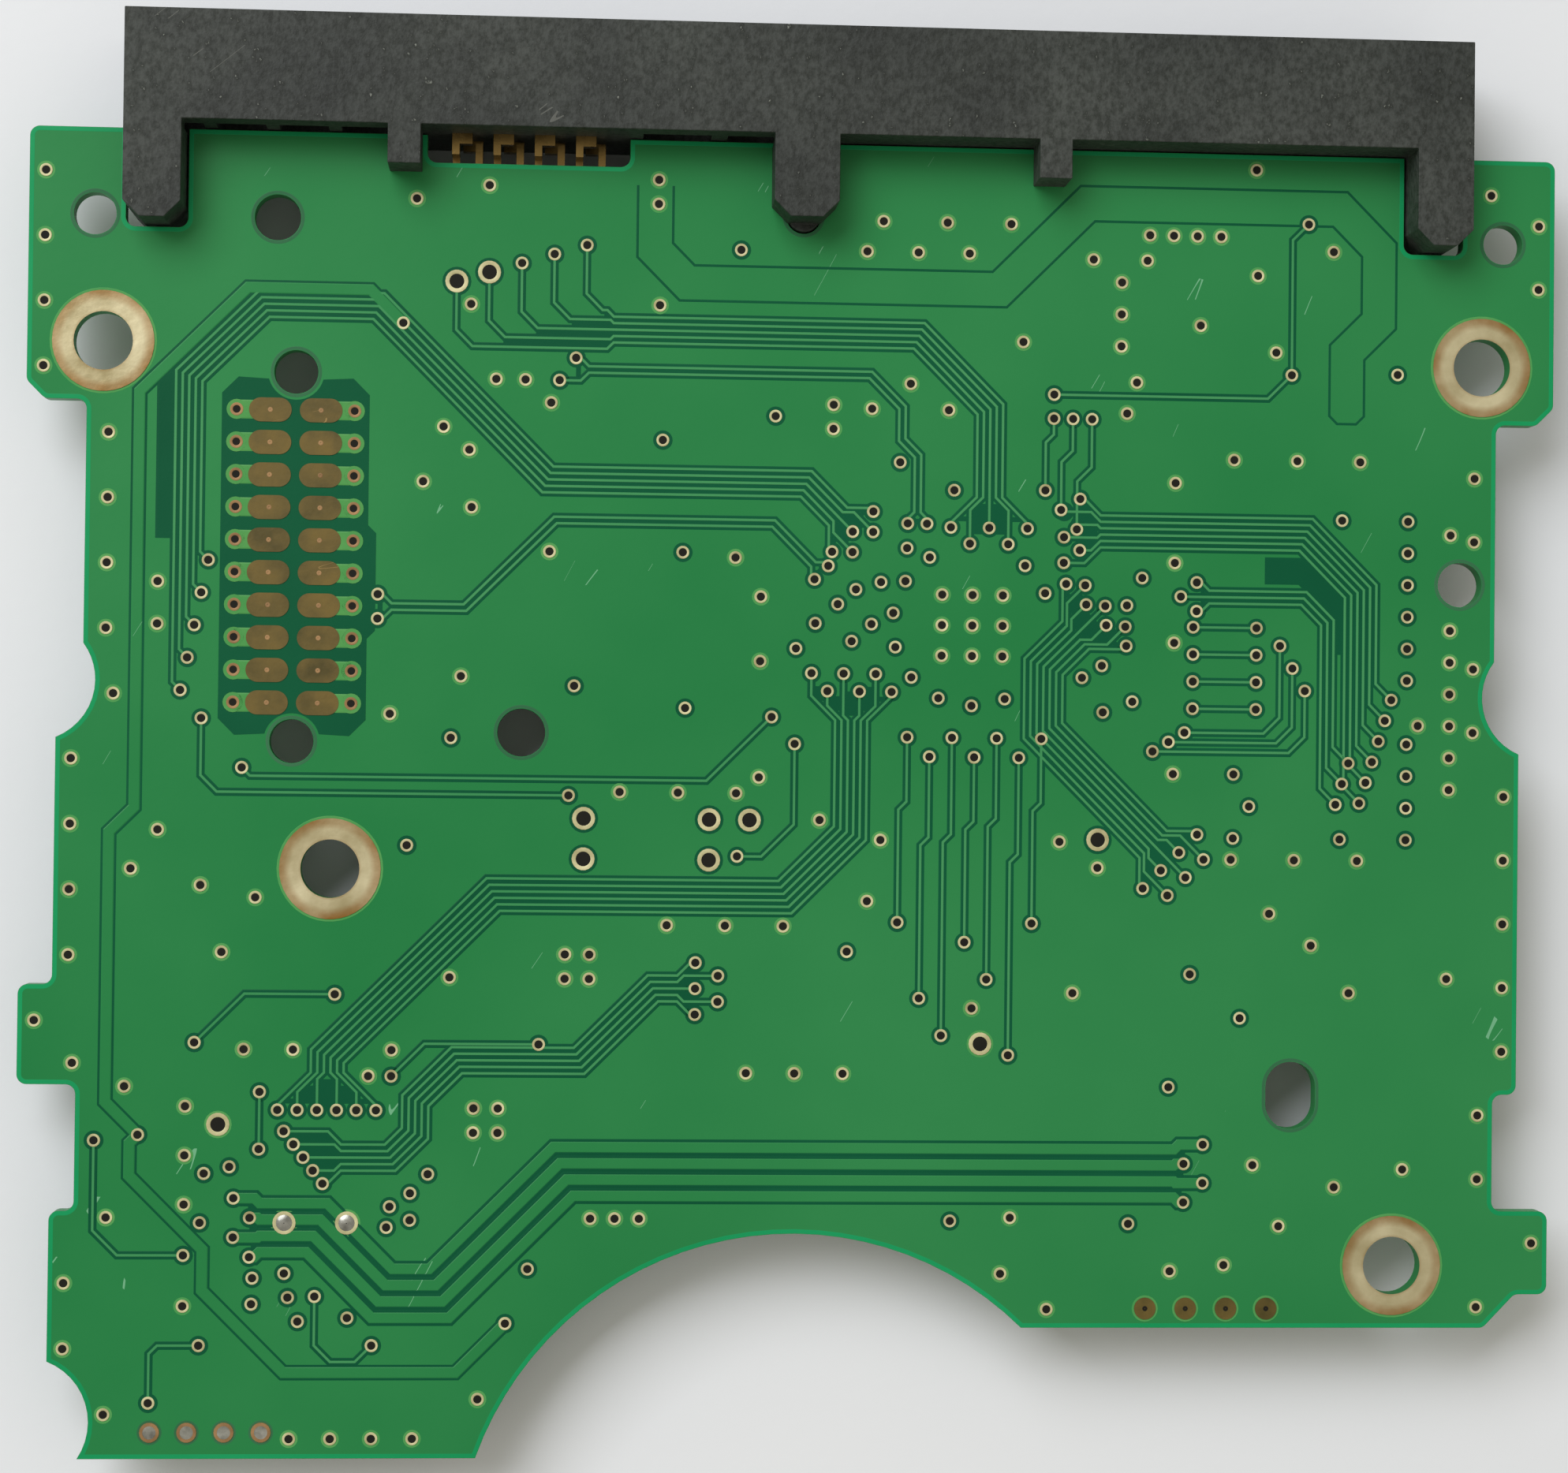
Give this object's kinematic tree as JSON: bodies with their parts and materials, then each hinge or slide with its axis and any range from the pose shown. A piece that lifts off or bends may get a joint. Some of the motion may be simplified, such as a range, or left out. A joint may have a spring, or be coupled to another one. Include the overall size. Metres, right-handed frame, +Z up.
{
  "type": "hard disk drive controller board",
  "caption": "Controller board of a 3.5 inch hard disk drive: shaped green laminate with contact lands, serial plug, jumper block and surface-mounted chips.",
  "frame": {"origin": "under the middle of the whole assembly, on the plane that the connector housing and the power inductors stand on", "axes": "+X along the connector edge towards the power end of the serial plug, +Y out of the connectors, +Z up, towards the drive that the board is screwed to"},
  "size_m": [0.095, 0.0882, 0.0086],
  "materials": {
    "mask_green": "glossy solder mask over glass-fibre laminate",
    "tinned_land": "tinned copper land",
    "gold_land": "gold-flashed copper land",
    "solder": "bright solder",
    "contact_gold": "gold plated contact",
    "black_polymer": "glass-filled moulding",
    "chip_moulding": "fine matt epoxy",
    "tin_lead": "matt tin",
    "dark_ceramic": "glazed ceramic",
    "nickel_can": "brushed nickel",
    "tan_ceramic": "fired ceramic",
    "ferrite": "sintered ferrite",
    "amber_moulding": "moulded epoxy",
    "copper_wire": "enamelled copper wire"
  },
  "bodies": {
    "root": {"board_laminate": "mask_green", "screw_hole_lands": "tinned_land", "head_contact_pads": "gold_land", "motor_contact_pads": "gold_land", "filled_test_holes": "solder", "sata_signal_contacts": "contact_gold", "sata_power_contacts": "contact_gold", "upper_jumper_pins": "contact_gold", "lower_jumper_pins": "contact_gold", "connector_housing": "black_polymer", "controller_body": "chip_moulding", "controller_leads": "tin_lead", "controller_thermal_pad": "tin_lead", "memory_body": "chip_moulding", "memory_leads": "tin_lead", "motor_driver_body": "chip_moulding", "motor_driver_leads": "tin_lead", "motor_driver_thermal_pad": "tin_lead", "flash_body": "chip_moulding", "flash_leads": "tin_lead", "power_transistor_bodies": "chip_moulding", "power_transistor_leads": "tin_lead", "crystal_base": "dark_ceramic", "crystal_can": "nickel_can", "ceramic_capacitor_bodies": "tan_ceramic", "ceramic_capacitor_terminals": "tin_lead", "resistor_bodies": "dark_ceramic", "resistor_terminals": "tin_lead", "ferrite_bead_bodies": "ferrite", "ferrite_bead_terminals": "tin_lead", "shock_sensor_bodies": "tan_ceramic", "shock_sensor_terminals": "tin_lead", "resistor_array_bodies": "dark_ceramic", "resistor_array_terminals": "tin_lead", "tantalum_capacitor_bodies": "amber_moulding", "tantalum_capacitor_terminals": "tin_lead", "protection_diode_bodies": "chip_moulding", "protection_diode_terminals": "tin_lead", "power_inductor_cores": "ferrite", "power_inductor_windings": "copper_wire", "power_inductor_terminals": "tin_lead"}
  },
  "joints": []
}
